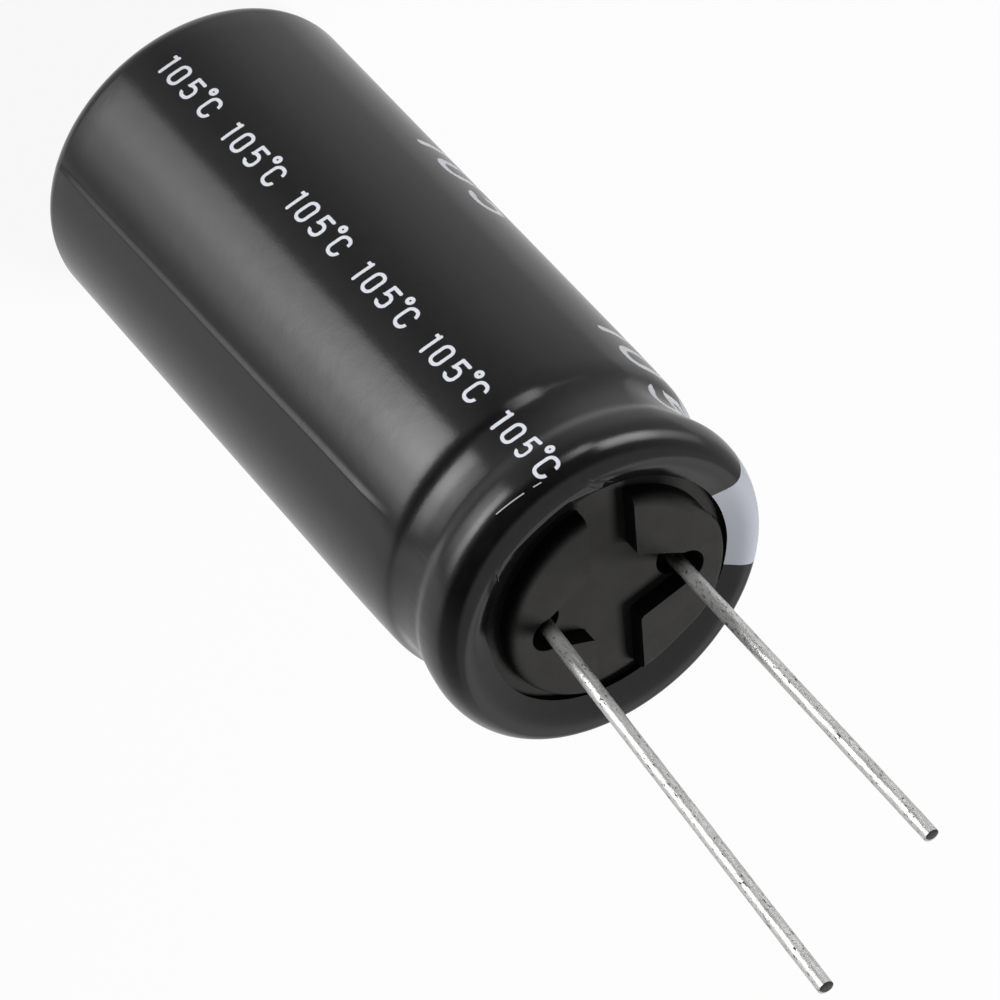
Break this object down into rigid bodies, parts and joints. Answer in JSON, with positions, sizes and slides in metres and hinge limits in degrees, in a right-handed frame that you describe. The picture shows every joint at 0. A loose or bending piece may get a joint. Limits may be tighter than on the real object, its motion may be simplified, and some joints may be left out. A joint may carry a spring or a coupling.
{
  "type": "radial electrolytic capacitor",
  "caption": "Radial electrolytic capacitor: film-sleeved aluminium can with a beaded neck, rolled rim, moulded rubber bung and wire leads of unequal length.",
  "frame": {"origin": "centre of the closed end, in the plane that the sleeve's edge stands on", "axes": "+Z along the can towards the leads; +X from the negative lead towards the positive lead"},
  "size_m": [0.0184, 0.0184, 0.0671],
  "materials": {
    "film": "satin, shrunk on",
    "can_metal": "drawn, bright",
    "bung_rubber": "matte, moulded",
    "rolled_paper": "soaked paper and etched foil",
    "tape": "smooth",
    "terminal_metal": "pressed",
    "tinned_wire": "tinned, lightly scuffed"
  },
  "bodies": {
    "root": {"sleeve": "film", "can": "can_metal", "bung": "bung_rubber", "winding": "rolled_paper", "winding_tape": "tape", "terminal_positive": "terminal_metal", "terminal_negative": "terminal_metal", "lead_positive": "tinned_wire", "lead_negative": "tinned_wire"}
  },
  "joints": []
}
